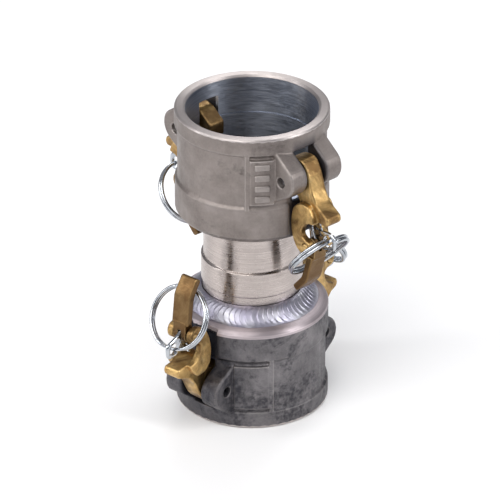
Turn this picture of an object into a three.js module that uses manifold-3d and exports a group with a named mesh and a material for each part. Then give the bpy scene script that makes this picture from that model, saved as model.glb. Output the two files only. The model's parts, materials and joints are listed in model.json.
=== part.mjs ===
// Camlock spool: two 2 inch female cam couplers welded back to back, in millimetres, +Z up.
// The origin is on the axis at the lower mouth plane; the upper coupler's arms lie along +X and -X.
import * as THREE from 'three';
import { mergeVertices } from 'three/addons/utils/BufferGeometryUtils.js';
import Module from 'manifold-3d';

const wasm = await Module();
wasm.setup();

// Driving dimensions
const HEIGHT = 160;
const GAP = 0.3;
const LOWER_ANGLE = -82;
const LATHE_STEPS = 48;

// Coupler casting, with depths measured from its own mouth plane
const BAND_R = 38;
const PANEL_R = 36.6;
const TAIL_R = 37.9;
const SOCKET_R = 32;
const RELIEF_R = 32.5;
const RELIEF_DEPTH = 20;
const MOUTH_BAND = 8.6;
const TAIL_TOP = 38;
const SEAT_DEPTH = 40;
const GROOVE_R = 33.4;
const GASKET_THICK = 6.2;
const SEAT_R = 25.6;
const FLOW_R = 20;

// Raised plates and the rib beside one of them, in degrees round the casting and depths down it
const PLATE_TOP = 11;
const PLATE_FOOT = 35;
const PLATE_RISE = 0.6;
const RIB_GAP = 0.5;
const RIB_WIDTH = 3.5;
const RIB_RISE = 0.2;

// Flat seats in the tail band that the arms' cheeks close into
const ARM_SEAT_R = 35.8;
const ARM_SEAT_HALF = 8.5;
const ARM_SEAT_TOP = 36.8;
const ARM_SEAT_FOOT = 59;

// Neck, weld and shoulder, as heights above the lower mouth plane
const NECK_R = 24;
const COLLAR_R = 25.2;
const COLLAR_TOP = 79.7;
const COLLAR_FOOT = 66.5;
const SHANK_R = 24.6;
const WELD_TOP = 61.4;
const WELD_FOOT_R = 32.5;
const SHOULDER_FACE = 54.5;
const SHOULDER_EDGE = 51.8;

// Ears and arm pins
const PIN_R = 38.5;
const PIN_DEPTH = 22;
const PIN_RADIUS = 2.4;
const PIN_HALF = 13.8;
const EAR_INNER = 6.2;
const EAR_OUTER = 16.3;
const SLOT_TOP = 8.8;
const SLOT_FOOT = 37;

// Cam arm, with u outward from the arm pin and v from the arm pin towards the neck
const HEAD_HALF = 4.7;
const CHEEK_INNER = 4.2;
const CHEEK_OUTER = 7.8;
const HINGE_U = 8.3;
const HINGE_V = 35.1;
const HINGE_RADIUS = 2;
const CROSS_PIN_HALF = 8.2;
const KNUCKLE_RADIUS = 3.6;
const KNUCKLE_OUTER = 3.9;
const HANDLE_HALF = 5;
const FINGER_HALF = 0.8;
const SPRING_WIRE_R = 0.45;
const SPRING_STEPS = 20;

// Split ring in the finger's eye
const EYE_U = 17;
const EYE_V = 30.8;
const EYE_RADIUS = 3.1;
const RING_MEAN_R = 15.7;
const RING_WIRE_R = 0.87;
const RING_PITCH = 1.85;
const RING_TURNS = 2;
const RING_STEPS = 48;

// How each arm rests, in degrees: how far it is open, and its ring's inward lean and slide round the eye
const REST = {
  upper_a: { open: 0, lean: 40, slide: 9 },
  upper_b: { open: 0, lean: 38, slide: 4 },
  lower_a: { open: 8.6, lean: 38, slide: 9 },
  lower_b: { open: 8.6, lean: 42, slide: 0 },
};

const CAST = { color: 0x92887f, roughness: 0.62, metalness: 0.8 };
const MACHINED = { color: 0xc8bfbc, roughness: 0.35, metalness: 0.95 };
const BRASS = { color: 0xab8248, roughness: 0.42, metalness: 0.95 };
const STEEL = { color: 0xc9cdd2, roughness: 0.2, metalness: 1 };
const RUBBER = { color: 0x1b1b1d, roughness: 0.8, metalness: 0 };

const degrees = THREE.MathUtils.degToRad;

function solid(geometry) {
  const bare = geometry.clone();
  bare.deleteAttribute('normal');
  bare.deleteAttribute('uv');
  const merged = mergeVertices(bare, 1e-4);
  const mesh = new wasm.Mesh({
    numProp: 3,
    vertProperties: new Float32Array(merged.attributes.position.array),
    triVerts: new Uint32Array(merged.index.array),
  });
  return new wasm.Manifold(mesh);
}

function surface(body) {
  const mesh = body.getMesh();
  const geometry = new THREE.BufferGeometry();
  geometry.setAttribute('position', new THREE.BufferAttribute(new Float32Array(mesh.vertProperties), 3));
  geometry.setIndex(new THREE.BufferAttribute(new Uint32Array(mesh.triVerts), 1));
  return geometry;
}

function towards(corner, other, distance) {
  const way = new THREE.Vector2(other[0], other[1]).sub(corner);
  return corner.clone().add(way.setLength(Math.min(distance, way.length() * 0.49)));
}

// A closed outline from corners given as [x, y, rounding].
function outline(corners) {
  const shape = new THREE.Shape();
  corners.forEach(([x, y, rounding], index) => {
    const corner = new THREE.Vector2(x, y);
    const start = towards(corner, corners.at(index - 1), rounding);
    const end = towards(corner, corners[(index + 1) % corners.length], rounding);
    if (index === 0) shape.moveTo(start.x, start.y);
    else shape.lineTo(start.x, start.y);
    if (rounding > 0) shape.quadraticCurveTo(x, y, end.x, end.y);
  });
  shape.closePath();
  return shape;
}

// Extrudes an outline drawn in x and z through the y range low to high.
function plate(shape, low, high, bevel = 0) {
  const options = {
    depth: high - low - 2 * bevel,
    bevelEnabled: bevel > 0,
    bevelThickness: bevel,
    bevelSize: bevel,
    bevelOffset: -bevel,
    bevelSegments: 1,
    curveSegments: 3,
  };
  const geometry = new THREE.ExtrudeGeometry(shape, options);
  geometry.translate(0, 0, bevel - high);
  return solid(geometry.rotateX(Math.PI / 2));
}

function both(shape, inner, outer, bevel = 0) {
  return plate(shape, inner, outer, bevel).add(plate(shape, -outer, -inner, bevel));
}

// A round bar along y, centred at (x, z).
function bar(radius, low, high, x, z, sides = 16) {
  const geometry = new THREE.CylinderGeometry(radius, radius, high - low, sides);
  return solid(geometry.translate(x, (low + high) / 2, z));
}

function box(x, y, z) {
  const geometry = new THREE.BoxGeometry(x[1] - x[0], y[1] - y[0], z[1] - z[0]);
  return solid(geometry.translate((x[0] + x[1]) / 2, (y[0] + y[1]) / 2, (z[0] + z[1]) / 2));
}

// Turns a closed [radius, height] profile about Z; the outside is listed upwards.
function turned(profile, steps = LATHE_STEPS) {
  const points = profile.map(([radius, height]) => new THREE.Vector2(radius, height));
  points.push(points[0].clone());
  return solid(new THREE.LatheGeometry(points, steps).rotateX(Math.PI / 2));
}

function spun(body, angle) {
  const geometry = surface(body);
  return solid(geometry.rotateZ(degrees(angle)));
}

// A shallow pad that follows the casting's wall between two angles and two depths.
function wallPad(angles, depths, rise) {
  const [from, to] = angles.map(degrees);
  const pad = new THREE.Shape();
  pad.absarc(0, 0, BAND_R + rise, from, to, false);
  pad.absarc(0, 0, PANEL_R - 1, to, from, true);
  pad.closePath();
  const options = { depth: depths[1] - depths[0], bevelEnabled: false, curveSegments: 4 };
  return solid(new THREE.ExtrudeGeometry(pad, options).translate(0, 0, -depths[1]));
}

// Coupler castings, drawn with the mouth at z = 0 and the tail downwards
function couplerProfile(tail) {
  return [
    ...tail,
    [TAIL_R, -TAIL_TOP],
    [PANEL_R, 1.6 - TAIL_TOP],
    [PANEL_R, -MOUTH_BAND - 0.8],
    [BAND_R, -MOUTH_BAND],
    [BAND_R, -1.1],
    [BAND_R - 0.6, -0.2],
    [BAND_R - 1.2, 0],
    [RELIEF_R + 0.7, 0],
    [RELIEF_R, -0.9],
    [RELIEF_R, -RELIEF_DEPTH],
    [SOCKET_R, -RELIEF_DEPTH - 0.3],
    [SOCKET_R, -SEAT_DEPTH],
    [GROOVE_R, -SEAT_DEPTH],
    [GROOVE_R, -SEAT_DEPTH - GASKET_THICK - 2 * GAP],
    [SEAT_R, -SEAT_DEPTH - GASKET_THICK - 2 * GAP],
  ];
}

const upperTail = [
  [SEAT_R, -50],
  [FLOW_R, -60],
  [FLOW_R, SHOULDER_FACE + GAP - HEIGHT],
  [SHANK_R, SHOULDER_FACE + GAP - HEIGHT],
  [SHANK_R, COLLAR_FOOT - HEIGHT - 0.4],
  [COLLAR_R, COLLAR_FOOT - HEIGHT + 0.3],
  [COLLAR_R, COLLAR_TOP - HEIGHT - 0.5],
  [NECK_R, COLLAR_TOP - HEIGHT + 0.3],
  [NECK_R, -62],
  [NECK_R + 2, -59.6],
  [34.5, -57],
  [PANEL_R, -55.2],
  [TAIL_R, -53.5],
];

const lowerTail = [
  [SEAT_R, -50.5],
  [FLOW_R, -SHOULDER_FACE],
  [WELD_FOOT_R + 0.4, -SHOULDER_FACE],
  [PANEL_R - 0.6, -SHOULDER_EDGE - 1],
  [TAIL_R - 0.2, -SHOULDER_EDGE],
  [TAIL_R, -SHOULDER_EDGE + 0.9],
];

const earOutline = outline([
  [33, -6.4, 0],
  [35.5, -8, 1],
  [46.4, -16, 3],
  [47.6, -22.5, 4],
  [44.5, -28, 4],
  [38.2, -31.6, 1.5],
  [33, -34.6, 0],
]);

function plateAt({ angle, half }, turn = 0) {
  return wallPad([angle + turn - half, angle + turn + half], [PLATE_TOP, PLATE_FOOT], PLATE_RISE);
}

// A coupler's plate is repeated on its far side; the rib stands beside the first one.
function coupler(profile, mark) {
  const slot = box([SOCKET_R - 6, BAND_R + 12], [-EAR_INNER, EAR_INNER], [-SLOT_FOOT, -SLOT_TOP]);
  const bore = bar(PIN_RADIUS + GAP, -EAR_OUTER - 1, EAR_OUTER + 1, PIN_R, -PIN_DEPTH);
  const seat = box(
    [ARM_SEAT_R, BAND_R + 12],
    [-ARM_SEAT_HALF, ARM_SEAT_HALF],
    [-ARM_SEAT_FOOT, -ARM_SEAT_TOP],
  );
  const hollow = slot.add(bore).add(seat);
  const ears = both(earOutline, EAR_INNER, EAR_OUTER, 0.7);
  const ribEnd = mark.angle - mark.half - RIB_GAP;
  let body = turned(profile).add(ears).add(spun(ears, 180));
  body = body.add(plateAt(mark)).add(plateAt(mark, 180));
  body = body.add(wallPad([ribEnd - RIB_WIDTH, ribEnd], [MOUTH_BAND, TAIL_TOP], RIB_RISE));
  return surface(body.subtract(hollow).subtract(spun(hollow, 180)));
}

const gasket = surface(turned([
  [SEAT_R + 0.2, -GASKET_THICK],
  [GROOVE_R - GAP, -GASKET_THICK],
  [GROOVE_R - GAP, 0],
  [SEAT_R + 0.2, 0],
]));

const weldBead = surface(turned([
  [SHANK_R + GAP, SHOULDER_FACE + GAP],
  [WELD_FOOT_R, SHOULDER_FACE + GAP],
  [WELD_FOOT_R - 0.7, SHOULDER_FACE + 1.5],
  [WELD_FOOT_R - 2.9, SHOULDER_FACE + 4.1],
  [SHANK_R + 2.4, WELD_TOP - 0.9],
  [SHANK_R + GAP, WELD_TOP],
], 60));

// Cam arm pieces, drawn on the +X side of a coupler whose mouth is at z = 0
const place = ([u, v, rounding]) => [PIN_R + u, -PIN_DEPTH - v, rounding];

const headOutline = outline([
  [-13.2, -2.6, 1.4], [-9.6, -4.8, 2.4], [-4.6, -8.6, 3], [3.2, -9, 3.4], [7, -2.4, 2.4], [9.4, 5.6, 1.5],
  [12.4, 11.4, 1.4], [20.3, 16.2, 0.9], [21, 18.6, 0.9], [19.6, 20.8, 0.9], [13, 20.4, 1.2], [8.6, 22, 1.2],
  [2, 21.6, 1], [0.8, 13.4, 2], [-3, 8.6, 3], [-8.4, 6.4, 2], [-13.2, 4.8, 1.4],
].map(place));

// Each cheek is a C whose back closes into its seat and whose ends are the ledge and the latch hinge.
const cheekOutline = outline([
  [-0.4, 15.6, 2], [4.2, 11.9, 2.6], [9.8, 12.4, 1.6], [13, 17.2, 1], [14.4, 20.8, 1], [9.6, 21.4, 2],
  [6.3, 24.4, 2.4], [4.9, 29, 1.8], [7.4, 31, 1.6], [11.4, 32, 2.2], [12, 36.4, 2.8], [9.6, 39.6, 2.6],
  [4.4, 39.4, 3], [0.6, 35.8, 2.4], [-1.6, 30, 2.6], [-2.2, 22.8, 2.6],
].map(place));

const handleOutline = outline([
  [6.5, 41.4, 1.1], [10.5, 41.4, 1.1], [6.4, 56.4, 2.2],
  [-0.9, 63.9, 1.3], [-3.5, 61.5, 1.1], [2.7, 54.6, 2.2],
].map(place));

const handleRoot = outline([
  [4.9, 35.4, 0], [11.7, 35.4, 0], [10.4, 43, 0], [6.4, 43, 0],
].map(place));

const fingerOutline = outline([
  [4.8, 36.4, 1.6], [8.4, 39, 2.8], [12, 36.9, 1.4], [16.6, 35.6, 2.6], [21.6, 35, 3.4], [22, 26.6, 3.4],
  [15.4, 25.8, 2.8], [10, 27.4, 1.4], [4.8, 25.6, 0.8], [4, 28.4, 0.8], [5.2, 31, 1.4],
].map(place));

const HINGE_X = PIN_R + HINGE_U;
const HINGE_Z = -PIN_DEPTH - HINGE_V;
const EYE_X = PIN_R + EYE_U;
const EYE_Z = -PIN_DEPTH - EYE_V;

function camArm() {
  const pinBore = bar(PIN_RADIUS + GAP, -HEAD_HALF - 1, HEAD_HALF + 1, PIN_R, -PIN_DEPTH);
  const hingeBore = bar(HINGE_RADIUS + GAP, -CHEEK_OUTER - 1, CHEEK_OUTER + 1, HINGE_X, HINGE_Z, 12);
  const head = plate(headOutline, -HEAD_HALF, HEAD_HALF, 0.6).subtract(pinBore);
  return surface(head.add(both(cheekOutline, CHEEK_INNER, CHEEK_OUTER, 0.45)).subtract(hingeBore));
}

// The latch handle: a solid barrel whose underside is slotted for the finger, and the flat grip.
function handle() {
  const bore = bar(HINGE_RADIUS + GAP, -HANDLE_HALF, HANDLE_HALF, HINGE_X, HINGE_Z, 12);
  const inner = FINGER_HALF + GAP;
  const knuckle = bar(KNUCKLE_RADIUS, -KNUCKLE_OUTER, KNUCKLE_OUTER, HINGE_X, HINGE_Z);
  const slot = bar(KNUCKLE_RADIUS + 1, -inner, inner, HINGE_X, HINGE_Z);
  const root = plate(handleRoot, -KNUCKLE_OUTER, KNUCKLE_OUTER).add(knuckle).subtract(slot);
  return surface(root.add(plate(handleOutline, -HANDLE_HALF, HANDLE_HALF, 0.45)).subtract(bore));
}

function finger() {
  const bore = bar(HINGE_RADIUS + GAP, -FINGER_HALF - 1, FINGER_HALF + 1, HINGE_X, HINGE_Z, 12);
  const eye = bar(EYE_RADIUS, -FINGER_HALF - 1, FINGER_HALF + 1, EYE_X, EYE_Z, 20);
  return surface(plate(fingerOutline, -FINGER_HALF, FINGER_HALF, 0.3).subtract(bore).subtract(eye));
}

// The latch spring's wire shows as a narrow bail below the barrel, looped under the finger's toe.
function latchSpring() {
  const bends = [[2.6, 10.2, 31.2], [2.6, 8.4, 27], [2.2, 7.4, 24.3], [0, 7.2, 23.7]];
  const points = [...bends, ...bends.slice(0, -1).reverse().map(([y, u, v]) => [-y, u, v])];
  const path = new THREE.CatmullRomCurve3(
    points.map(([y, u, v]) => new THREE.Vector3(PIN_R + u, y, -PIN_DEPTH - v)),
  );
  const wire = new THREE.Shape();
  wire.absarc(0, 0, SPRING_WIRE_R, 0, 2 * Math.PI, false);
  const options = { steps: SPRING_STEPS, curveSegments: 3, extrudePath: path };
  return surface(solid(new THREE.ExtrudeGeometry(wire, options)));
}

const armPin = surface(bar(PIN_RADIUS, -PIN_HALF, PIN_HALF, PIN_R, -PIN_DEPTH));

// The centre line of the split ring: a flat helix whose wire passes through the eye.
class SplitRingCurve extends THREE.Curve {
  getPoint(fraction, target = new THREE.Vector3()) {
    const angle = fraction * RING_TURNS * 2 * Math.PI + Math.PI / 2;
    const rise = (fraction - 0.5) * RING_PITCH * RING_TURNS;
    return target.set(RING_MEAN_R * Math.cos(angle), RING_MEAN_R * Math.sin(angle), rise);
  }
}

function splitRing({ lean, slide }) {
  const wire = new THREE.Shape();
  wire.absarc(0, 0, RING_WIRE_R, 0, 2 * Math.PI, false);
  const options = { steps: RING_STEPS, curveSegments: 3, extrudePath: new SplitRingCurve() };
  const ring = new THREE.ExtrudeGeometry(wire, options);
  // Stand the ring on its edge with the eye at its top, slide it round the eye, then lean it.
  ring.rotateX(Math.PI / 2).rotateZ(Math.PI / 2).translate(0, 0, -RING_MEAN_R);
  ring.rotateX(degrees(slide)).rotateY(degrees(lean));
  return surface(solid(ring.translate(EYE_X, 0, EYE_Z)));
}

function node(name, geometry, look) {
  const mesh = new THREE.Mesh(geometry, new THREE.MeshStandardMaterial(look));
  mesh.name = name;
  geometry.computeVertexNormals();
  return mesh;
}

const crossPin = surface(bar(HINGE_RADIUS, -CROSS_PIN_HALF, CROSS_PIN_HALF, HINGE_X, HINGE_Z, 12));

const armParts = [
  ['cam_arm', camArm(), BRASS],
  ['cross_pin', crossPin, BRASS],
  ['latch_handle', handle(), BRASS],
  ['latch_finger', finger(), STEEL],
  ['latch_spring', latchSpring(), STEEL],
];

// One arm with its latch and ring, closed along +X and then opened about its pin by the rest angle.
function armGroup(tag, turn) {
  const pivot = new THREE.Vector3(PIN_R, 0, -PIN_DEPTH);
  const opened = new THREE.Group();
  opened.position.copy(pivot);
  opened.rotation.y = degrees(-REST[tag].open);
  const drawn = new THREE.Group();
  drawn.position.copy(pivot).negate();
  for (const [name, geometry, look] of armParts) drawn.add(node(`${tag}_${name}`, geometry, look));
  drawn.add(node(`${tag}_pull_ring`, splitRing(REST[tag]), STEEL));
  opened.add(drawn);
  const arm = new THREE.Group();
  arm.rotation.z = degrees(turn);
  arm.add(opened, node(`${tag}_arm_pin`, armPin, STEEL));
  return arm;
}

// One complete coupler in its own frame: mouth at z = 0, arms along +X and -X.
function couplerGroup(end, tail, mark) {
  const group = new THREE.Group();
  group.add(node(`${end}_coupler`, coupler(couplerProfile(tail), mark), CAST));
  const seal = node(`${end}_gasket`, gasket, RUBBER);
  seal.position.z = -SEAT_DEPTH - GAP;
  group.add(seal, armGroup(`${end}_a`, 0), armGroup(`${end}_b`, 180));
  return group;
}

const upper = couplerGroup('upper', upperTail, { angle: -34.5, half: 9 });
upper.position.z = HEIGHT;

const lower = couplerGroup('lower', lowerTail, { angle: -39.5, half: 13 });
lower.rotation.set(Math.PI, 0, degrees(LOWER_ANGLE), 'ZYX');

const camlock = new THREE.Group();
camlock.add(upper, lower, node('weld_bead', weldBead, MACHINED));
export default camlock;
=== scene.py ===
"""Camlock spool: two cast aluminium couplers welded back to back, with brass cam arms and split rings."""
import json
import math

import bmesh
import bpy
import numpy as np
from mathutils import Matrix, Vector


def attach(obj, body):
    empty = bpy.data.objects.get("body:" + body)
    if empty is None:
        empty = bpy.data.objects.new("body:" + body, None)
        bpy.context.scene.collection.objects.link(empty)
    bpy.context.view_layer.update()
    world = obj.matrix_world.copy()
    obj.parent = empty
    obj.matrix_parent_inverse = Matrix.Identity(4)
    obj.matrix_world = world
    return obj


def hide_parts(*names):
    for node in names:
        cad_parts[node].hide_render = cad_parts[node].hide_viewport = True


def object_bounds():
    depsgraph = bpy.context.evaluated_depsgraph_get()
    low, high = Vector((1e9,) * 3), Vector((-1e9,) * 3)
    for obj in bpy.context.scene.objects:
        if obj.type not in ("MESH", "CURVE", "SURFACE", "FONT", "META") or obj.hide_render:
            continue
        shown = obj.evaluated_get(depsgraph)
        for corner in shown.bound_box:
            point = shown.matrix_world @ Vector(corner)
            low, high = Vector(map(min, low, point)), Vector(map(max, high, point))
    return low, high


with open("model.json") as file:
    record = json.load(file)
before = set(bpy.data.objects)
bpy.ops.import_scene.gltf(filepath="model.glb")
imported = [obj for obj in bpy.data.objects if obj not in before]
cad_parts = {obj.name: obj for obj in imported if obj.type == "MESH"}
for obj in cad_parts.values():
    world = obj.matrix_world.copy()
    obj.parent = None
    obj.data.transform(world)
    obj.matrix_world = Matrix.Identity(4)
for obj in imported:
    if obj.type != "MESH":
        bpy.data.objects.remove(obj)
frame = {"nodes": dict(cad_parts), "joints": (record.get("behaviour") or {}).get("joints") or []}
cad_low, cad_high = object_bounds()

MM = 0.001
HEIGHT = cad_high.z
LATHE_STEPS = 192
CORNER_STEPS = 4

# Radii, depths from a mouth and heights up the spool, in millimetres, as the CAD has them
BAND_R = 38.0
TAIL_R = 37.9
RELIEF_R = 32.5
RELIEF_DEPTH = 20.0
SOCKET_R = 32.0
SEAT_DEPTH = 40.0
GROOVE_R = 33.4
GROOVE_END = 46.8
SEAT_R = 25.6
FLOW_R = 20.0
NECK_R = 24.0
COLLAR_R = 25.2
COLLAR_TOP = 79.7
COLLAR_FOOT = 66.5
SHANK_R = 24.6
WELD_TOP = 61.4
WELD_FOOT_R = 32.5
SHOULDER_FACE = 54.5
SLOT_HALF = 6.2
SLOT_TOP = 8.8
SLOT_FOOT = 37.0
ARM_SEAT_R = 35.8
ARM_SEAT_HALF = 8.5
UPPER_MM = HEIGHT / MM
NECK_TOP = UPPER_MM - 60.6

# How far the castings stand back behind their turned linings and rims
BEHIND_LINING = 0.55
BEHIND_RIM = 0.35

# The directions of the upper plate and of the lower arms round the axis
UPPER_PLATE_TURN = math.radians(-34.5)
LOWER_ARM_TURN = math.radians(-82)


# ---------------------------------------------------------------- meshes

def link(name, mesh):
    piece = bpy.data.objects.new(name, mesh)
    bpy.context.scene.collection.objects.link(piece)
    return piece


def smooth(mesh, angle=35):
    mesh.polygons.foreach_set("use_smooth", [True] * len(mesh.polygons))
    mesh.set_sharp_from_angle(angle=math.radians(angle))
    return mesh


def rounded(profile):
    """A closed (r, z) outline with each corner's third value as its rounding, in millimetres."""
    points = []
    count = len(profile)
    for index, (r, z, rounding) in enumerate(profile):
        corner = Vector((r, z))
        if rounding == 0:
            points.append(corner)
            continue
        before = Vector(profile[index - 1][:2]) - corner
        after = Vector(profile[(index + 1) % count][:2]) - corner
        start = corner + before.normalized() * min(rounding, before.length * 0.49)
        end = corner + after.normalized() * min(rounding, after.length * 0.49)
        for step in range(CORNER_STEPS + 1):
            t = step / CORNER_STEPS
            points.append(start * (1 - t) ** 2 + corner * 2 * t * (1 - t) + end * t ** 2)
    return points


def lathe(name, profile):
    """Turns a closed (r, z, rounding) outline about Z."""
    ring = rounded(profile)
    count = len(ring)
    angles = np.linspace(0, 2 * math.pi, LATHE_STEPS, endpoint=False)
    verts = [(p.x * MM * math.cos(a), p.x * MM * math.sin(a), p.y * MM) for a in angles for p in ring]
    faces = []
    for turn in range(LATHE_STEPS):
        here, there = turn * count, (turn + 1) % LATHE_STEPS * count
        for k in range(count):
            nxt = (k + 1) % count
            faces.append((here + k, there + k, there + nxt, here + nxt))
    mesh = bpy.data.meshes.new(name)
    mesh.from_pydata(verts, [], faces)
    return link(name, smooth(mesh))


def evaluated(piece):
    """Applies a piece's modifiers, and gives its new mesh."""
    graph = bpy.context.evaluated_depsgraph_get()
    mesh = bpy.data.meshes.new_from_object(piece.evaluated_get(graph))
    piece.modifiers.clear()
    piece.data = mesh
    return mesh


def copy_of(node, name):
    """A copy of a CAD node's mesh with its doubled corners joined, without materials and maps."""
    mesh = frame["nodes"][node].data.copy()
    mesh.materials.clear()
    work = bmesh.new()
    work.from_mesh(mesh)
    bmesh.ops.remove_doubles(work, verts=work.verts, dist=1e-6)
    work.to_mesh(mesh)
    work.free()
    for layer in list(mesh.uv_layers):
        mesh.uv_layers.remove(layer)
    return link(name, mesh)


def remeshed(piece, voxel, rounds):
    """Rebuilds a piece as an even skin and relaxes it, which rounds its edges as a casting's are."""
    skin = piece.modifiers.new("skin", "REMESH")
    skin.mode = "VOXEL"
    skin.voxel_size = voxel * MM * 1
    relax = piece.modifiers.new("relax", "SMOOTH")
    relax.factor = 0.5
    relax.iterations = rounds
    mesh = evaluated(piece)
    mesh.polygons.foreach_set("use_smooth", [True] * len(mesh.polygons))
    return piece


def coords(mesh):
    flat = np.zeros(len(mesh.vertices) * 3, np.float32)
    mesh.vertices.foreach_get("co", flat)
    return flat.reshape(-1, 3)


def set_coords(mesh, points):
    mesh.vertices.foreach_set("co", np.ascontiguousarray(points, np.float32).ravel())
    mesh.update()


def cut(piece, cutter):
    """Takes the cutter's volume out of a piece, and deletes the cutter."""
    knife = piece.modifiers.new("cut", "BOOLEAN")
    knife.operation = "DIFFERENCE"
    knife.solver = "EXACT"
    knife.object = cutter
    mesh = evaluated(piece)
    bpy.data.objects.remove(cutter)
    smooth(mesh)


def block(low, high, turn):
    """A plain box used as a knife, turned about the axis."""
    work = bmesh.new()
    bmesh.ops.create_cube(work, size=1)
    size = [h - l for l, h in zip(low, high)]
    centre = [(h + l) / 2 for l, h in zip(low, high)]
    place = Matrix.Rotation(turn, 4, "Z") @ Matrix.Translation(centre) @ Matrix.Diagonal((*size, 1))
    bmesh.ops.transform(work, matrix=place, verts=work.verts)
    mesh = bpy.data.meshes.new("knife")
    work.to_mesh(mesh)
    work.free()
    return link("knife", mesh)


def placed(profile, end):
    """An outline drawn with depths from a mouth, placed in the coupler at that end."""
    if end == "lower":
        return list(reversed(profile))
    return [(r, UPPER_MM - depth, rounding) for r, depth, rounding in profile]


def heights(end, *depths):
    """Heights in metres of places at the given depths from a mouth, in millimetres."""
    if end == "lower":
        return [depth * MM for depth in depths]
    return [HEIGHT - depth * MM for depth in depths]


# ---------------------------------------------------------------- materials

class Look:
    """A small helper that builds one node material on object coordinates."""

    def __init__(self, name):
        self.material = bpy.data.materials.new(name)
        self.material.use_nodes = True
        self.nodes = self.material.node_tree.nodes
        self.links = self.material.node_tree.links
        self.shader = self.nodes["Principled BSDF"]
        self.place = self.nodes.new("ShaderNodeTexCoord").outputs["Object"]

    def node(self, kind, **values):
        made = self.nodes.new(kind)
        for key, value in values.items():
            setattr(made, key, value)
        return made

    def join(self, source, target):
        self.links.new(source, target)

    def stretched(self, x, y, z):
        mapping = self.node("ShaderNodeMapping")
        self.join(self.place, mapping.inputs["Vector"])
        mapping.inputs["Scale"].default_value = (x, y, z)
        return mapping.outputs["Vector"]

    def noise(self, scale, detail=3.0, rough=0.55, vector=None, distortion=0.0):
        made = self.node("ShaderNodeTexNoise")
        self.join(vector or self.place, made.inputs["Vector"])
        made.inputs["Scale"].default_value = scale
        made.inputs["Detail"].default_value = detail
        made.inputs["Roughness"].default_value = rough
        made.inputs["Distortion"].default_value = distortion
        return made.outputs["Fac"]

    def band(self, value, low, high, start=0.0, end=1.0):
        made = self.node("ShaderNodeMapRange")
        self.join(value, made.inputs["Value"])
        made.inputs["From Min"].default_value = low
        made.inputs["From Max"].default_value = high
        made.inputs["To Min"].default_value = start
        made.inputs["To Max"].default_value = end
        return made.outputs["Result"]

    def maths(self, operation, first, second):
        made = self.node("ShaderNodeMath", operation=operation)
        for socket, value in zip(made.inputs, (first, second)):
            if isinstance(value, (int, float)):
                socket.default_value = value
            else:
                self.join(value, socket)
        return made.outputs[0]

    def mix(self, factor, first, second):
        made = self.node("ShaderNodeMix", data_type="RGBA")
        if isinstance(factor, float):
            made.inputs["Factor"].default_value = factor
        else:
            self.join(factor, made.inputs["Factor"])
        for socket, value in ((made.inputs[6], first), (made.inputs[7], second)):
            if isinstance(value, tuple):
                socket.default_value = (*value, 1)
            else:
                self.join(value, socket)
        return made.outputs[2]

    def ramp(self, value, *stops):
        made = self.node("ShaderNodeValToRGB")
        self.join(value, made.inputs["Fac"])
        elements = made.color_ramp.elements
        while len(elements) < len(stops):
            elements.new(0.5)
        for element, (position, colour) in zip(elements, stops):
            element.position = position
            element.color = (*colour, 1)
        return made.outputs["Color"]

    def radius(self):
        length = self.node("ShaderNodeVectorMath", operation="LENGTH")
        self.join(self.stretched(1, 1, 0), length.inputs[0])
        return length.outputs["Value"]

    def height(self):
        split = self.node("ShaderNodeSeparateXYZ")
        self.join(self.place, split.inputs[0])
        return split.outputs["Z"]

    def across(self, turn):
        """Distance from the upright plane through the axis that stands at an angle of turn."""
        mapping = self.node("ShaderNodeMapping")
        self.join(self.place, mapping.inputs["Vector"])
        mapping.inputs["Rotation"].default_value = (0, 0, -turn)
        split = self.node("ShaderNodeSeparateXYZ")
        self.join(mapping.outputs["Vector"], split.inputs[0])
        return self.maths("ABSOLUTE", split.outputs["Y"], 0.0)

    def bump(self, value, distance, strength=1.0, under=None):
        made = self.node("ShaderNodeBump")
        self.join(value, made.inputs["Height"])
        made.inputs["Distance"].default_value = distance
        made.inputs["Strength"].default_value = strength
        if under:
            self.join(under, made.inputs["Normal"])
        return made.outputs["Normal"]

    def edges(self, low, high):
        """0 to 1 between two measures of how far a place juts out; flat places measure 0.5."""
        return self.band(self.node("ShaderNodeNewGeometry").outputs["Pointiness"], low, high)

    def turn_marks(self, amount):
        """Stretches highlights across the lathe's tool marks."""
        around = self.node("ShaderNodeTangent", direction_type="RADIAL", axis="Z")
        self.join(around.outputs[0], self.shader.inputs["Tangent"])
        self.shader.inputs["Anisotropic"].default_value = amount
        self.shader.inputs["Anisotropic Rotation"].default_value = 0.25

    def set(self, colour=None, rough=None, normal=None, metallic=1.0):
        self.shader.inputs["Metallic"].default_value = metallic
        for name, value in (("Base Color", colour), ("Roughness", rough), ("Normal", normal)):
            if value is None:
                continue
            if isinstance(value, tuple):
                self.shader.inputs[name].default_value = (*value, 1)
            elif isinstance(value, float):
                self.shader.inputs[name].default_value = value
            else:
                self.join(value, self.shader.inputs[name])
        return self.material


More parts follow.
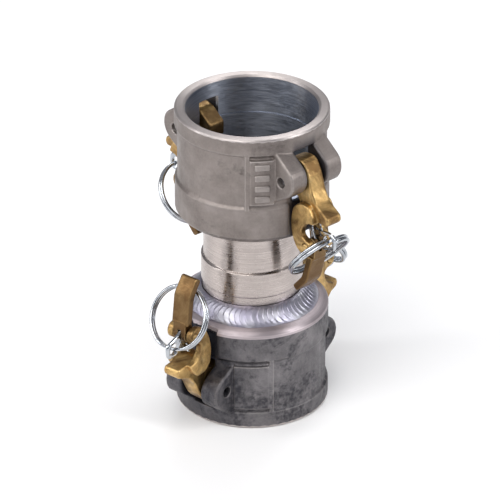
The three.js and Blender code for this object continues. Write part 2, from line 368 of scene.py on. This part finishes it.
def cast_aluminium(name, tones, patches, patch_colour, grain, edge_wear_and_highlight, arms, slot, seat, arm_shade):
    """Sand-cast metal, with painted shade in the arms' slots and seats and beside the arms, and edges
    lightened both for wear and as a painted highlight.
    """
    dark, mid, pale = tones
    look = Look(name)
    tone = look.ramp(look.noise(55, 5, 0.6), (0.3, dark), (0.52, mid), (0.75, pale))
    fine = look.noise(900, 4, 0.65)
    tone = look.mix(look.band(fine, 0.35, 0.7, 0.0, 0.35), tone, pale)
    stains = look.band(look.noise(38, 6, 0.72, distortion=0.8), 0.56 - patches, 0.66 - patches)
    stains = look.maths("MULTIPLY", stains, look.band(look.noise(420, 3), 0.3, 0.62))
    tone = look.mix(look.maths("MULTIPLY", stains, 0.75), tone, patch_colour)
    # Jutting edges are lightened partly for wear and partly as a painted highlight along ledges and bars.
    worn_and_highlit_edges = look.maths("MULTIPLY", look.edges(0.51, 0.55), edge_wear_and_highlight)
    tone = look.mix(worn_and_highlit_edges, tone, (0.55, 0.51, 0.49))
    # Painted shade beside the arms: a near-black navy, mottled by noise, strongest on the lower casting.
    beside = look.band(look.across(arms), 0.012, 0.026, 1.0, 0.0)
    shade_beside_arms = look.maths("MULTIPLY", beside, look.band(look.noise(60, 5, 0.65), 0.3, 0.62, 0.35, 1.0))
    tone = look.mix(look.maths("MULTIPLY", shade_beside_arms, arm_shade), tone, (0.022, 0.023, 0.034))
    across = look.across(arms)
    height = look.height()
    # Painted shade: the slots and seats beside each arm are darkened to near black.
    in_seat = look.maths("MULTIPLY", look.band(across, 0.0086, 0.0112, 0.6, 0.0), look.band(height, *seat))
    in_slot = look.maths("MULTIPLY", look.band(across, 0.006, 0.008, 1.0, 0.0), look.band(height, *slot))
    painted_slot_shade = look.maths("MAXIMUM", in_seat, in_slot)
    tone = look.mix(look.maths("MULTIPLY", painted_slot_shade, 0.85), tone, (0.02, 0.022, 0.034))
    rough = look.band(look.noise(130, 4), 0.3, 0.7, 0.4, 0.62)
    lumps = look.bump(look.noise(170, 4, 0.6), 0.0005, 0.35 * grain)
    normal = look.bump(look.noise(1500, 3, 0.7), 0.00016, 0.6 * grain, lumps)
    return look.set(tone, rough, normal, 0.82)


def machined(name, base, dark, rough_low, rough_high, lines=1700, groove=0.000015):
    """Metal turned on a lathe, with fine rings of tool marks and dull smears."""
    look = Look(name)
    turning = look.noise(1, 3, 0.6, look.stretched(8, 8, lines))
    tone = look.mix(look.band(turning, 0.3, 0.7), dark, base)
    smears = look.band(look.noise(90, 5, 0.65), 0.5, 0.75, 0.0, 0.5)
    tone = look.mix(smears, tone, dark)
    rough = look.band(look.noise(1, 4, 0.7, look.stretched(160, 160, 900)), 0.3, 0.7, rough_low, rough_high)
    normal = look.bump(turning, groove, 0.6)
    look.turn_marks(0.7)
    return look.set(tone, rough, normal, 1.0)


def weld_metal():
    """Bright bead with a faint violet heat tint and dark seams between its coins."""
    look = Look("weld_metal")
    tint = look.ramp(
        look.noise(60, 3),
        (0.3, (0.48, 0.48, 0.52)), (0.55, (0.37, 0.355, 0.45)), (0.75, (0.52, 0.52, 0.55)),
    )
    tone = look.mix(look.edges(0.46, 0.5), (0.22, 0.21, 0.27), tint)
    rough = look.band(look.noise(500, 3), 0.3, 0.7, 0.34, 0.5)
    return look.set(tone, rough, look.bump(look.noise(1800, 2), 0.00003, 0.4), 1.0)


def aged_brass(name, low, middle, high, patina):
    """Cast brass with brown patina, bright worn edges, dark hollows, and painted shade where it lies inside
    the socket.
    """
    look = Look(name)
    clean = look.ramp(look.noise(140, 4), (0.3, low), (0.58, middle), (0.8, high))
    film = look.band(look.noise(62, 6, 0.7, distortion=0.6), 0.56 - patina, 0.76 - patina)
    tone = look.mix(look.maths("MULTIPLY", film, 0.88), clean, (0.13, 0.07, 0.028))
    tone = look.mix(look.maths("MULTIPLY", look.edges(0.515, 0.58), 0.65), tone, (0.85, 0.62, 0.3))
    tone = look.mix(look.band(look.edges(0.49, 0.42), 0, 1, 0.0, 0.75), tone, (0.045, 0.024, 0.012))
    # Painted shade: brass nearer the axis than the socket wall is darkened, as the cam noses lie in the
    # socket's shade.
    tone = look.mix(look.band(look.radius(), 0.034, 0.031, 0.0, 0.7), tone, (0.1, 0.055, 0.025))
    rough = look.band(look.noise(240, 4), 0.3, 0.7, 0.3, 0.52)
    lumps = look.bump(look.noise(260, 4), 0.0003, 0.4)
    return look.set(tone, rough, look.bump(look.noise(1700, 3, 0.7), 0.0001, 0.5, lumps), 0.92)


def bright_steel():
    look = Look("bright_steel")
    tone = look.mix(look.band(look.noise(220, 4), 0.35, 0.7), (0.55, 0.57, 0.6), (0.36, 0.385, 0.42))
    rough = look.band(look.noise(600, 3), 0.3, 0.7, 0.1, 0.26)
    return look.set(tone, rough, look.bump(look.noise(1400, 2), 0.00003, 0.4), 1.0)


def black_rubber():
    look = Look("black_rubber")
    tone = look.mix(look.noise(300, 4), (0.012, 0.012, 0.013), (0.035, 0.034, 0.034))
    return look.set(tone, 0.62, look.bump(look.noise(900, 4), 0.0001, 0.5), 0.0)


LOOKS = {
    "upper_cast": cast_aluminium(
        "upper_cast", ((0.17, 0.145, 0.135), (0.235, 0.205, 0.19), (0.31, 0.275, 0.26)),
        patches=0.0, patch_colour=(0.11, 0.095, 0.09), grain=0.8, edge_wear_and_highlight=0.5, arms=0.0,
        slot=heights("upper", 2.5, 9.5), seat=heights("upper", 35.5, 38.5), arm_shade=0.05,
    ),
    "lower_cast": cast_aluminium(
        "lower_cast", ((0.085, 0.081, 0.088), (0.155, 0.147, 0.153), (0.27, 0.254, 0.262)),
        patches=0.12, patch_colour=(0.02, 0.02, 0.028), grain=1.5, edge_wear_and_highlight=0.35, arms=LOWER_ARM_TURN,
        slot=heights("lower", 7.5, 10.5), seat=heights("lower", 35.5, 38.5), arm_shade=0.5,
    ),
    "turned": machined("turned", (0.56, 0.5, 0.47), (0.42, 0.37, 0.35), 0.22, 0.36),
    "shoulder": machined("shoulder", (0.6, 0.53, 0.55), (0.4, 0.35, 0.37), 0.42, 0.6),
    "bored": machined("bored", (0.56, 0.59, 0.66), (0.33, 0.36, 0.43), 0.3, 0.48, 1500, 0.00004),
    "mouth": machined("mouth", (0.62, 0.57, 0.55), (0.44, 0.4, 0.39), 0.4, 0.58),
    "weld": weld_metal(),
    "brass": aged_brass("brass", (0.44, 0.27, 0.1), (0.68, 0.46, 0.19), (0.85, 0.62, 0.3), 0.14),
    "brown_brass": aged_brass(
        "brown_brass", (0.15, 0.088, 0.035), (0.22, 0.14, 0.062), (0.33, 0.225, 0.105), 0.2,
    ),
    "steel": bright_steel(),
    "rubber": black_rubber(),
}


def dress(piece, look, slot, body, *nodes):
    """Gives a piece its look and body, and hides the CAD nodes that it stands in for. Its slot is not used.
    """
    piece.data.materials.clear()
    piece.data.materials.append(LOOKS[look])
    if nodes:
        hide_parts(*nodes)
    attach(piece, body)


# ---------------------------------------------------------------- couplers

def casting(end):
    """The sand-cast outside of a coupler, cut from its CAD solid and rounded as a casting is."""
    piece = copy_of(f"{end}_coupler", f"{end}_casting")
    mesh = piece.data
    work = bmesh.new()
    work.from_mesh(mesh)
    if end == "upper":
        plane = (0, 0, (NECK_TOP + 0.1) * MM)
        geometry = work.verts[:] + work.edges[:] + work.faces[:]
        made = bmesh.ops.bisect_plane(
            work, geom=geometry, plane_co=plane, plane_no=(0, 0, 1), clear_inner=True,
        )
        rim = [e for e in made["geom_cut"] if isinstance(e, bmesh.types.BMEdge)]
        bmesh.ops.bridge_loops(work, edges=rim)
    work.to_mesh(mesh)
    work.free()
    remeshed(piece, 0.42, 2)
    points = coords(piece.data)
    radius = np.hypot(points[:, 0], points[:, 1])
    depth = (HEIGHT - points[:, 2]) if end == "upper" else points[:, 2]
    inside = (radius < (GROOVE_R + 0.4) * MM) & (depth < (GROOVE_END + 1) * MM)
    behind_lining = (GROOVE_R + BEHIND_LINING) * MM
    push = np.where(inside & (radius > (SOCKET_R - 1) * MM), behind_lining / np.maximum(radius, 1e-6), 1.0)
    points[:, 0] *= push
    points[:, 1] *= push
    lip = depth < BEHIND_RIM * MM
    drop = BEHIND_RIM * MM - depth
    points[:, 2] += np.where(lip, drop * (-1 if end == "upper" else 1), 0)
    set_coords(piece.data, points)
    return piece


def bore(end):
    """The machined socket and gasket groove of a coupler, with the two windows for the cam noses."""
    lining_r = GROOVE_R + 0.7
    line_r = SOCKET_R + 0.7
    profile = [
        (SEAT_R, 50.0, 0), (lining_r, 50.0, 0), (lining_r, 1.4, 0), (RELIEF_R + 0.5, 1.4, 0),
        (RELIEF_R, 1.2, 0), (SOCKET_R + 0.1, RELIEF_DEPTH - 0.35, 0), (line_r, RELIEF_DEPTH - 0.3, 0),
        (line_r, RELIEF_DEPTH + 0.3, 0), (SOCKET_R, RELIEF_DEPTH + 0.35, 0), (SOCKET_R, SEAT_DEPTH, 0.4),
        (GROOVE_R, SEAT_DEPTH, 0.2), (GROOVE_R, GROOVE_END, 0.3), (SEAT_R, GROOVE_END, 0.4),
    ]
    piece = lathe(f"{end}_bore", placed(profile, end))
    low, high = sorted(heights(end, SLOT_TOP, SLOT_FOOT))
    for side in ("a", "b"):
        knife_low = (20 * MM, -SLOT_HALF * MM, low)
        knife_high = (45 * MM, SLOT_HALF * MM, high)
        cut(piece, block(knife_low, knife_high, arm_turn(end, side)))
    return piece


def rim(end):
    """The machined mouth face, with a fine chamfer at its inner edge."""
    profile = [
        (RELIEF_R + 0.05, 2.0, 0), (BAND_R - 0.5, 2.0, 0), (BAND_R - 0.1, 1.5, 0.1),
        (BAND_R - 0.12, 0.6, 0.5), (BAND_R - 0.9, -0.03, 0.8), (RELIEF_R + 1.1, -0.03, 0.3),
        (RELIEF_R + 0.05, 0.95, 0.25),
    ]
    return lathe(f"{end}_rim", placed(profile, end))


def arm_turn(end, side):
    """The direction of an arm round the axis, from its hinge in the frame."""
    joint = next(j for j in frame["joints"] if j["name"] == f"{end}_{side}_arm_hinge")
    return math.atan2(joint["pos_m"][1], joint["pos_m"][0])


def neck():
    """The turned neck with its wider collar, running into the upper casting."""
    return lathe("neck", [
        (FLOW_R, SHOULDER_FACE + 0.3, 0), (SHANK_R, SHOULDER_FACE + 0.3, 0),
        (SHANK_R, COLLAR_FOOT - 0.3, 0.15), (COLLAR_R, COLLAR_FOOT + 0.25, 0.25),
        (COLLAR_R, COLLAR_TOP - 0.4, 0.25), (NECK_R + 0.05, COLLAR_TOP + 0.35, 0.2),
        (NECK_R + 0.05, NECK_TOP - 1.2, 1.0), (NECK_R + 1.4, NECK_TOP + 0.6, 0),
        (FLOW_R + 1, NECK_TOP + 0.6, 0), (FLOW_R, NECK_TOP, 0),
    ])


def shoulder():
    """The turned top of the lower coupler, cut away where its arms lie."""
    piece = lathe("shoulder", [
        (FLOW_R + 0.4, SHOULDER_FACE - 4, 0), (TAIL_R - 0.8, SHOULDER_FACE - 4, 0),
        (TAIL_R + 0.08, SHOULDER_FACE - 4, 0.1), (TAIL_R + 0.05, SHOULDER_FACE - 1.9, 1.9),
        (WELD_FOOT_R + 2.4, SHOULDER_FACE + 0.05, 2.2), (FLOW_R + 0.4, SHOULDER_FACE + 0.05, 0),
    ])
    for side in ("a", "b"):
        knife_low = (ARM_SEAT_R * MM, -ARM_SEAT_HALF * MM, (SHOULDER_FACE - 9) * MM)
        knife_high = (50 * MM, ARM_SEAT_HALF * MM, (SHOULDER_FACE + 5) * MM)
        cut(piece, block(knife_low, knife_high, arm_turn("lower", side)))
    return piece


def weld():
    """A fillet bead laid as overlapping coins round the foot of the neck."""
    coins = 68
    turns = 1248
    across = 26
    foot = Vector((WELD_FOOT_R + 0.6, SHOULDER_FACE + 0.1))
    toe = Vector((SHANK_R + 0.35, WELD_TOP + 0.5))
    chord = toe - foot
    out = Vector((chord.y, -chord.x)).normalized()
    if out.x < 0:
        out = -out
    verts = []
    faces = []
    ring = across + 2
    for turn in range(turns):
        angle = 2 * math.pi * turn / turns
        slow = 0.22 * math.sin(angle * 7 + 1) + 0.16 * math.sin(angle * 17 + 2)
        wander = slow + 0.1 * math.sin(angle * 31)
        for k in range(across + 1):
            s = k / across
            bow = 4 * s * (1 - s)
            phase = (coins * angle / (2 * math.pi) + 1.15 * bow ** 0.9 + 0.08 * math.sin(angle * 13)) % 1.0
            ripple = (1 - phase) ** 1.5 if phase > 0.12 else phase / 0.12 * 0.83
            lift = 1.15 * bow ** 0.75 + 0.3 * ripple * min(1.0, bow * 1.6)
            point = foot + chord * (s * (1 + 0.03 * wander)) + out * (lift + 0.12 * wander * bow)
            radius = point.x + (0.35 * wander if k == 0 else 0)
            verts.append((radius * MM * math.cos(angle), radius * MM * math.sin(angle), point.y * MM))
        inner = Vector((SHANK_R - 0.2, SHOULDER_FACE + 0.1))
        verts.append((inner.x * MM * math.cos(angle), inner.x * MM * math.sin(angle), inner.y * MM))
    for turn in range(turns):
        here, there = turn * ring, (turn + 1) % turns * ring
        for k in range(ring):
            nxt = (k + 1) % ring
            faces.append((here + k, there + k, there + nxt, here + nxt))
    mesh = bpy.data.meshes.new("weld")
    mesh.from_pydata(verts, [], faces)
    return link("weld", smooth(mesh, 60))


def gasket(end):
    """The rubber seal that fills a socket's groove."""
    top = SEAT_DEPTH + 0.3
    profile = [
        (SEAT_R + 0.2, top + 6.2, 0.6), (GROOVE_R - 0.3, top + 6.2, 0.6), (GROOVE_R - 0.3, top, 0.6),
        (SEAT_R + 0.2, top, 0.9),
    ]
    return lathe(f"{end}_seal", placed(profile, end))


def plain_bars():
    """Plain raised bars on the upper casting's plate, where the real one has a size mark."""
    middle = UPPER_MM - 23
    work = bmesh.new()
    for row in range(4):
        height = (middle + (row - 1.5) * 5.7) * MM
        made = bmesh.ops.create_cube(work, size=1)["verts"]
        place = Matrix.Translation(((BAND_R + 0.5) * MM, 0, height))
        size = Matrix.Diagonal((1.9 * MM, 7.6 * MM, 3.4 * MM, 1))
        turn = Matrix.Rotation(UPPER_PLATE_TURN, 4, "Z")
        bmesh.ops.transform(work, matrix=turn @ place @ size, verts=made)
    mesh = bpy.data.meshes.new("upper_bars")
    work.to_mesh(mesh)
    work.free()
    piece = link("upper_bars", mesh)
    soft = piece.modifiers.new("soft", "BEVEL")
    soft.width = 0.9 * MM
    soft.segments = 5
    smooth(evaluated(piece), 60)
    return piece


def build_couplers():
    dress(casting("upper"), "upper_cast", "cast_aluminium", "spool", "upper_coupler")
    dress(casting("lower"), "lower_cast", "cast_aluminium_aged", "spool", "lower_coupler")
    dress(bore("upper"), "bored", "cast_aluminium", "spool")
    dress(bore("lower"), "bored", "cast_aluminium_aged", "spool")
    dress(rim("upper"), "mouth", "cast_aluminium", "spool")
    dress(rim("lower"), "mouth", "cast_aluminium_aged", "spool")
    dress(neck(), "turned", "cast_aluminium", "spool")
    dress(shoulder(), "shoulder", "cast_aluminium_aged", "spool")
    dress(weld(), "weld", "weld_aluminium", "spool", "weld_bead")
    dress(plain_bars(), "upper_cast", "cast_aluminium", "spool")
    for end in ("upper", "lower"):
        dress(gasket(end), "rubber", "rubber", "spool", f"{end}_gasket")


# ---------------------------------------------------------------- cam arms

# The rings' wire in millimetres, and each ring's inward lean and slide round the eye in degrees
WIRE_R = 0.9
RING_PITCH = 1.83
RING_MEAN_R = 15.7
RING_TURNS = 2
RINGS = {"upper_a": (40, 9), "upper_b": (38, 4), "lower_a": (29.4, 9), "lower_b": (33.4, 0)}


def split_ring(tag):
    """Two turns of round wire, through the eye of the latch finger."""
    joint = next(j for j in frame["joints"] if j["name"] == f"{tag}_ring_swing")
    eye = Vector(joint["pos_m"])
    outward = Vector((eye.x, eye.y, 0)).normalized()
    away = Vector((0, 0, -1 if tag.startswith("upper") else 1))
    sideways = outward.cross(away)
    lean, slide = (math.radians(angle) for angle in RINGS[tag])
    down = away * math.cos(lean) - outward * math.sin(lean)
    along = down * math.cos(slide) + sideways * math.sin(slide)
    across = sideways * math.cos(slide) - down * math.sin(slide)
    normal = along.cross(across)
    centre = eye + along * RING_MEAN_R * MM
    steps, sides = (240), 14
    verts, faces = [], []
    for step in range(steps + 1):
        fraction = step / steps
        angle = fraction * RING_TURNS * 2 * math.pi + math.pi
        rise = (fraction - 0.5) * RING_PITCH * RING_TURNS
        radial = along * math.cos(angle) + across * math.sin(angle)
        taper = min(1.0, 0.25 + 24 * min(fraction, 1 - fraction))
        for k in range(sides):
            turn = 2 * math.pi * k / sides
            offset = radial * math.cos(turn) + normal * math.sin(turn)
            verts.append(centre + (radial * RING_MEAN_R + normal * rise + offset * WIRE_R * taper) * MM)
    for step in range(steps):
        here, there = step * sides, (step + 1) * sides
        for k in range(sides):
            nxt = (k + 1) % sides
            faces.append((here + k, here + nxt, there + nxt, there + k))
    faces.append(tuple(range(sides - 1, -1, -1)))
    faces.append(tuple(steps * sides + k for k in range(sides)))
    name = f"{tag}_split_ring"
    mesh = bpy.data.meshes.new(name)
    mesh.from_pydata(verts, [], faces)
    work = bmesh.new()
    work.from_mesh(mesh)
    bmesh.ops.recalc_face_normals(work, faces=work.faces)
    work.to_mesh(mesh)
    work.free()
    return link(name, smooth(mesh, 60))


def softened(node, name, width, segments=3):
    """A copy of a small CAD piece with rounded edges."""
    piece = copy_of(node, name)
    edge = piece.modifiers.new("edge", "BEVEL")
    edge.width = width * MM
    edge.segments = segments
    edge.limit_method = "ANGLE"
    edge.angle_limit = math.radians(40)
    smooth(evaluated(piece), 40)
    return piece


def build_arm(end, side):
    """All the pieces of one cam arm, its latch and its ring."""
    tag = f"{end}_{side}"
    arm = remeshed(copy_of(f"{tag}_cam_arm", f"{tag}_cam"), 0.3, 3)
    dress(arm, "brass", "brass", f"{tag}_arm", f"{tag}_cam_arm")
    grip = remeshed(copy_of(f"{tag}_latch_handle", f"{tag}_grip"), 0.25, 3)
    dress(grip, "brown_brass", "brass", f"{tag}_latch", f"{tag}_latch_handle")
    eye = softened(f"{tag}_latch_finger", f"{tag}_eye_plate", 0.25)
    dress(eye, "steel", "steel", f"{tag}_latch", f"{tag}_latch_finger")
    pin = softened(f"{tag}_cross_pin", f"{tag}_knuckle_pin", 0.7, 5)
    dress(pin, "brass", "brass", f"{tag}_arm", f"{tag}_cross_pin")
    axle = softened(f"{tag}_arm_pin", f"{tag}_axle", 0.4)
    dress(axle, "steel", "steel", "spool", f"{tag}_arm_pin")
    spring = softened(f"{tag}_latch_spring", f"{tag}_spring_wire", 0.1)
    dress(spring, "steel", "steel", f"{tag}_arm", f"{tag}_latch_spring")
    dress(split_ring(tag), "steel", "steel", f"{tag}_ring", f"{tag}_pull_ring")


# ---------------------------------------------------------------- studio

def area_light(name, azimuth, elevation, distance, size, power, colour=(1, 1, 1)):
    light = bpy.data.lights.new(name, "AREA")
    light.shape = "RECTANGLE"
    light.size, light.size_y = size
    light.energy = power
    light.color = colour
    lamp = bpy.data.objects.new(name, light)
    a, e = math.radians(azimuth), math.radians(elevation)
    back = Vector((math.sin(a) * math.cos(e), -math.cos(a) * math.cos(e), math.sin(e)))
    lamp.location = Vector((0, 0, HEIGHT / 2)) + back * distance
    lamp.rotation_euler = (-back).to_track_quat("-Z", "Y").to_euler()
    bpy.context.scene.collection.objects.link(lamp)


def studio():
    scene = bpy.context.scene
    mesh = bpy.data.meshes.new("floor")
    reach = 3.5
    corners = [(-reach, -reach, 0), (reach, -reach, 0), (reach, reach, 0), (-reach, reach, 0)]
    mesh.from_pydata(corners, [], [(0, 1, 2, 3)])
    floor = link("floor", mesh)
    floor.location.z = -0.0002
    pale = Look("pale_floor")
    floor.data.materials.append(pale.set((0.93, 0.93, 0.935), 0.7, None, 0.0))

    world = bpy.data.worlds.new("studio")
    world.use_nodes = True
    nodes = world.node_tree.nodes
    links = world.node_tree.links
    background = nodes["Background"]
    coordinate = nodes.new("ShaderNodeTexCoord")
    split = nodes.new("ShaderNodeSeparateXYZ")
    links.new(coordinate.outputs["Generated"], split.inputs[0])
    ramp = nodes.new("ShaderNodeValToRGB")
    links.new(split.outputs["Z"], ramp.inputs["Fac"])
    ramp.color_ramp.elements[0].position = 0.0
    ramp.color_ramp.elements[0].color = (0.2, 0.2, 0.22, 1)
    ramp.color_ramp.elements[1].position = 0.75
    ramp.color_ramp.elements[1].color = (0.62, 0.63, 0.67, 1)
    links.new(ramp.outputs["Color"], background.inputs["Color"])
    background.inputs["Strength"].default_value = 0.55
    white = nodes.new("ShaderNodeBackground")
    white.inputs["Strength"].default_value = 1.05
    path = nodes.new("ShaderNodeLightPath")
    blend = nodes.new("ShaderNodeMixShader")
    links.new(path.outputs["Is Camera Ray"], blend.inputs[0])
    links.new(background.outputs[0], blend.inputs[1])
    links.new(white.outputs[0], blend.inputs[2])
    links.new(blend.outputs[0], nodes["World Output"].inputs[0])
    scene.world = world

    area_light("key", 15, 48, 1.5, (1.2, 1.2), 16, (1, 0.985, 0.96))
    area_light("left", -35, 25, 1.4, (0.25, 1.1), 6)
    area_light("right", 115, 30, 1.5, (0.3, 1.1), 10)
    area_light("back", 215, 55, 1.6, (0.8, 0.8), 9)

    scene.view_settings.view_transform = "Standard"


def camera():
    data = bpy.data.cameras.new("camera")
    data.lens = 334.4
    data.sensor_width = 36
    data.shift_x = -0.004
    data.clip_start, data.clip_end = 0.1, 20
    obj = bpy.data.objects.new("camera", data)
    azimuth = math.radians(48)
    elevation = math.radians(28.8)
    distance = 2.289
    flat = math.cos(elevation)
    back = Vector((math.sin(azimuth) * flat, -math.cos(azimuth) * flat, math.sin(elevation)))
    obj.location = Vector((0, 0, 0.0798)) + back * distance
    obj.rotation_mode = "QUATERNION"
    obj.rotation_quaternion = (-back).to_track_quat("-Z", "Y")
    bpy.context.scene.collection.objects.link(obj)
    bpy.context.scene.camera = obj


camera()
studio()
build_couplers()
for end in ("upper", "lower"):
    for side in ("a", "b"):
        build_arm(end, side)
